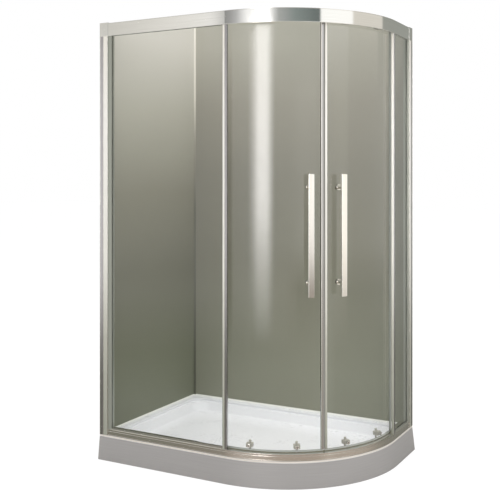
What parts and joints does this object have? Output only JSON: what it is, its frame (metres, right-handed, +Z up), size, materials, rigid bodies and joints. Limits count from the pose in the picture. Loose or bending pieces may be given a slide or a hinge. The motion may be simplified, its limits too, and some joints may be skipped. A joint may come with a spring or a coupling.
{
  "type": "quadrant shower enclosure",
  "caption": "Offset quadrant shower enclosure: low white tray with skirt, framed curved clear glass, two curved sliding doors with bar handles.",
  "frame": {"origin": "middle of the bounding box at floor level", "axes": "+X along the long wall towards the short screen side, +Y towards the long wall, +Z up"},
  "size_m": [1.212, 0.812, 2.08],
  "materials": {
    "acrylic_white": "glossy white sanitary acrylic",
    "bright_aluminium": "polished bright anodised aluminium",
    "chrome_trim": "bright polished plating",
    "clear_glass": "clear toughened glass",
    "foot_black": "moulded black plastic with steel stud",
    "magnet_seal": "pale magnetic seal",
    "roller_grey": "dark grey moulded bracket",
    "seal_rubber": "translucent grey seal",
    "skirt_grey": "satin grey coated panel",
    "stop_rubber": "black rubber",
    "trap_plastic": "white pipe plastic",
    "wall_panel_olive": "olive grey gloss wall panel",
    "wall_panel_pale": "olive grey gloss wall panel",
    "warm_chrome": "polished plating, warm reflections",
    "wheel_nylon": "white nylon",
    "zinc_steel": "plain zinc-coated steel"
  },
  "bodies": {
    "screen_and_tray": {"tray": "acrylic_white", "skirt_panel": "skirt_grey", "skirt_clips": "zinc_steel", "tray_frame": "zinc_steel", "levelling_feet": "foot_black", "waste_flange": "chrome_trim", "waste_trap": "trap_plastic", "bottom_rail": "chrome_trim", "top_rail": "chrome_trim", "wall_profile_left": "bright_aluminium", "wall_profile_right": "bright_aluminium", "jamb_left": "bright_aluminium", "jamb_right": "bright_aluminium", "profile_caps": "chrome_trim", "fixed_glass_left": "clear_glass", "fixed_glass_right": "clear_glass", "mullion_left": "bright_aluminium", "mullion_right": "bright_aluminium", "glazing_beads": "bright_aluminium", "back_panel_left": "wall_panel_pale", "back_panel_rear": "wall_panel_olive", "corner_bead": "wall_panel_pale", "door_stops": "stop_rubber"},
    "waste_cover": {"waste_cover": "chrome_trim"},
    "door_left": {"door_glass_left": "clear_glass", "meeting_profile_left": "bright_aluminium", "magnet_strip_left": "magnet_seal", "rear_seal_left": "seal_rubber", "drip_seal_left": "seal_rubber", "handle_bar_left": "warm_chrome", "handle_posts_left": "chrome_trim", "handle_fixings_left": "chrome_trim", "top_brackets_left": "roller_grey", "bottom_brackets_left": "roller_grey", "roller_bolts_left": "chrome_trim"},
    "top_wheel_left_front": {"top_wheel_left_front": "wheel_nylon"},
    "release_left_front": {"release_left_front": "roller_grey"},
    "bottom_wheel_left_front": {"bottom_wheel_left_front": "wheel_nylon"},
    "top_wheel_left_rear": {"top_wheel_left_rear": "wheel_nylon"},
    "release_left_rear": {"release_left_rear": "roller_grey"},
    "bottom_wheel_left_rear": {"bottom_wheel_left_rear": "wheel_nylon"},
    "door_right": {"door_glass_right": "clear_glass", "meeting_profile_right": "bright_aluminium", "magnet_strip_right": "magnet_seal", "rear_seal_right": "seal_rubber", "drip_seal_right": "seal_rubber", "handle_bar_right": "warm_chrome", "handle_posts_right": "chrome_trim", "handle_fixings_right": "chrome_trim", "top_brackets_right": "roller_grey", "bottom_brackets_right": "roller_grey", "roller_bolts_right": "chrome_trim"},
    "top_wheel_right_front": {"top_wheel_right_front": "wheel_nylon"},
    "release_right_front": {"release_right_front": "roller_grey"},
    "bottom_wheel_right_front": {"bottom_wheel_right_front": "wheel_nylon"},
    "top_wheel_right_rear": {"top_wheel_right_rear": "wheel_nylon"},
    "release_right_rear": {"release_right_rear": "roller_grey"},
    "bottom_wheel_right_rear": {"bottom_wheel_right_rear": "wheel_nylon"}
  },
  "joints": [
    {"name": "waste_cover_lift", "type": "slide", "parent": "screen_and_tray", "child": "waste_cover", "axis": [0, 0, 1], "range_m": [0, 0.03]},
    {"name": "door_left_slide", "type": "hinge", "parent": "screen_and_tray", "child": "door_left", "pos_m": [-0.01111, 0.29551, 1.035], "axis": [0, 0, -1], "range_deg": [0, 21.5]},
    {"name": "top_wheel_left_front_roll", "type": "hinge", "parent": "door_left", "child": "top_wheel_left_front", "pos_m": [0.3192, -0.27397, 1.9433], "axis": [0.5391, -0.8423, 0], "range_deg": [0, 1290]},
    {"name": "release_left_front_press", "type": "slide", "parent": "door_left", "child": "release_left_front", "axis": [0, 0, -1], "range_m": [0, 0.0045], "stiffness_N_per_m": 1500, "springref_m": -0.002},
    {"name": "bottom_wheel_left_front_roll", "type": "hinge", "parent": "release_left_front", "child": "bottom_wheel_left_front", "pos_m": [0.3192, -0.27397, 0.1267], "axis": [-0.5391, 0.8423, 0], "range_deg": [0, 1575]},
    {"name": "top_wheel_left_rear_roll", "type": "hinge", "parent": "door_left", "child": "top_wheel_left_rear", "pos_m": [0.13695, -0.34597, 1.9433], "axis": [0.1821, -0.9833, 0], "range_deg": [0, 1290]},
    {"name": "release_left_rear_press", "type": "slide", "parent": "door_left", "child": "release_left_rear", "axis": [0, 0, -1], "range_m": [0, 0.0045], "stiffness_N_per_m": 1500, "springref_m": -0.002},
    {"name": "bottom_wheel_left_rear_roll", "type": "hinge", "parent": "release_left_rear", "child": "bottom_wheel_left_rear", "pos_m": [0.13695, -0.34597, 0.1267], "axis": [-0.1821, 0.9833, 0], "range_deg": [0, 1575]},
    {"name": "door_right_slide", "type": "hinge", "parent": "screen_and_tray", "child": "door_right", "pos_m": [-0.09551, 0.21111, 1.035], "axis": [0, 0, 1], "range_deg": [0, 12.6]},
    {"name": "top_wheel_right_front_roll", "type": "hinge", "parent": "door_right", "child": "top_wheel_right_front", "pos_m": [0.47397, -0.1192, 1.9433], "axis": [-0.8423, 0.5391, 0], "range_deg": [0, 755]},
    {"name": "release_right_front_press", "type": "slide", "parent": "door_right", "child": "release_right_front", "axis": [0, 0, -1], "range_m": [0, 0.0045], "stiffness_N_per_m": 1500, "springref_m": -0.002},
    {"name": "bottom_wheel_right_front_roll", "type": "hinge", "parent": "release_right_front", "child": "bottom_wheel_right_front", "pos_m": [0.47397, -0.1192, 0.1267], "axis": [0.8423, -0.5391, 0], "range_deg": [0, 925]},
    {"name": "top_wheel_right_rear_roll", "type": "hinge", "parent": "door_right", "child": "top_wheel_right_rear", "pos_m": [0.54597, 0.06305, 1.9433], "axis": [-0.9833, 0.1821, 0], "range_deg": [0, 755]},
    {"name": "release_right_rear_press", "type": "slide", "parent": "door_right", "child": "release_right_rear", "axis": [0, 0, -1], "range_m": [0, 0.0045], "stiffness_N_per_m": 1500, "springref_m": -0.002},
    {"name": "bottom_wheel_right_rear_roll", "type": "hinge", "parent": "release_right_rear", "child": "bottom_wheel_right_rear", "pos_m": [0.54597, 0.06305, 0.1267], "axis": [0.9833, -0.1821, 0], "range_deg": [0, 925]}
  ],
  "couplings": [
    {"joint": "top_wheel_left_front_roll", "follows": "door_left_slide", "ratio": 59.849},
    {"joint": "bottom_wheel_left_front_roll", "follows": "door_left_slide", "ratio": 73.149},
    {"joint": "top_wheel_left_rear_roll", "follows": "door_left_slide", "ratio": 59.849},
    {"joint": "bottom_wheel_left_rear_roll", "follows": "door_left_slide", "ratio": 73.149},
    {"joint": "top_wheel_right_front_roll", "follows": "door_right_slide", "ratio": 59.849},
    {"joint": "bottom_wheel_right_front_roll", "follows": "door_right_slide", "ratio": 73.149},
    {"joint": "top_wheel_right_rear_roll", "follows": "door_right_slide", "ratio": 59.849},
    {"joint": "bottom_wheel_right_rear_roll", "follows": "door_right_slide", "ratio": 73.149}
  ]
}
